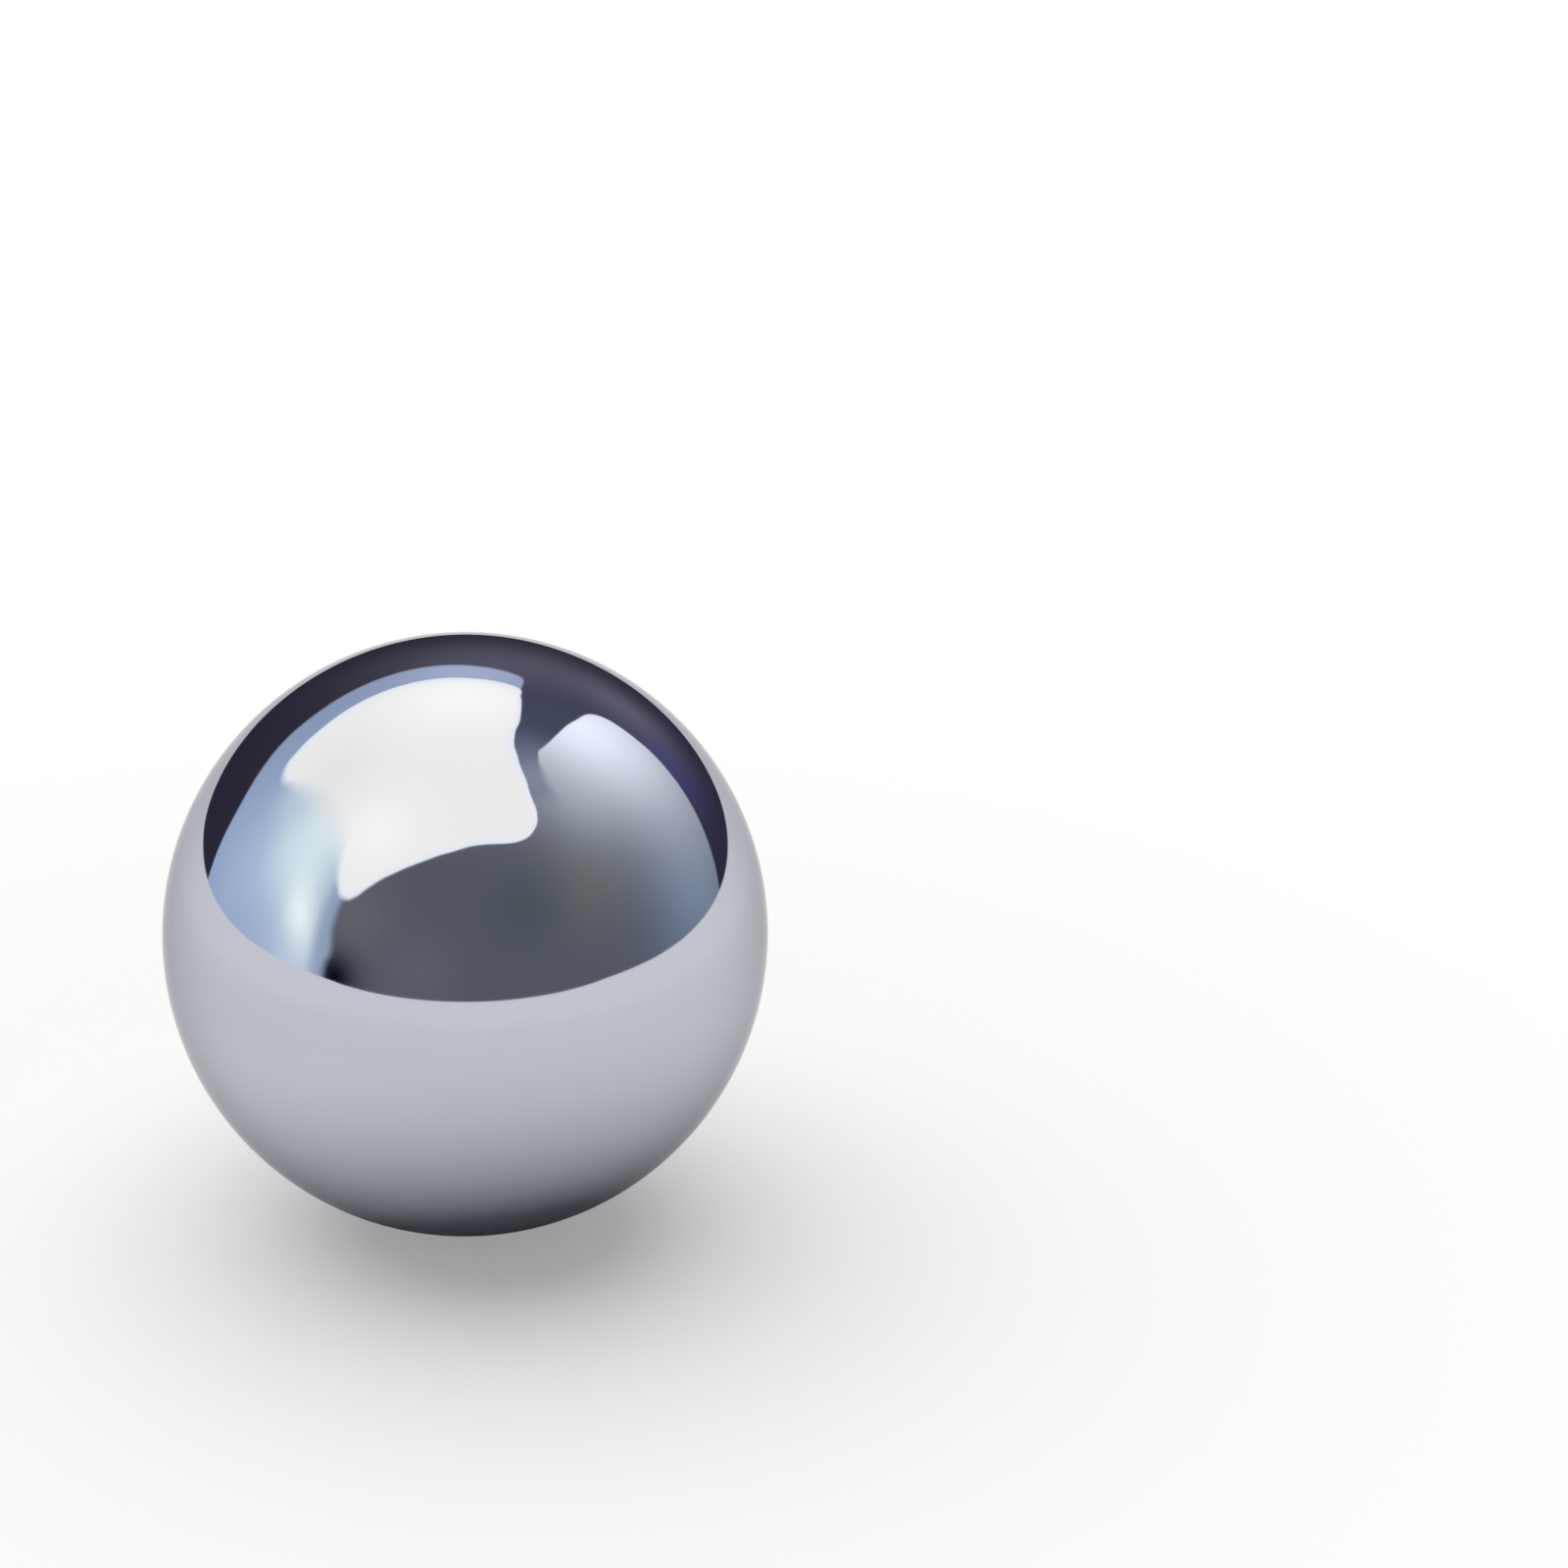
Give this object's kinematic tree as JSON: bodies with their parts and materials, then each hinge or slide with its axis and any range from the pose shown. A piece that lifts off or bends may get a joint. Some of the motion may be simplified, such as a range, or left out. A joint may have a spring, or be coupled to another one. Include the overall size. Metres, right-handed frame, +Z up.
{
  "type": "steel ball",
  "caption": "Solid round steel ball with a lapped, mirror-polished surface, for bearings, valves, detents and rolling play.",
  "frame": {"origin": "centre of the ball", "axes": "+Z up; the ball is the same about every axis, so +X and +Y are free choices"},
  "size_m": [0.0254, 0.0254, 0.0254],
  "materials": {
    "polished_steel": "hardened steel, lapped and polished to a mirror, with faint lapping haze"
  },
  "bodies": {
    "root": {"steel_ball": "polished_steel"}
  },
  "joints": []
}
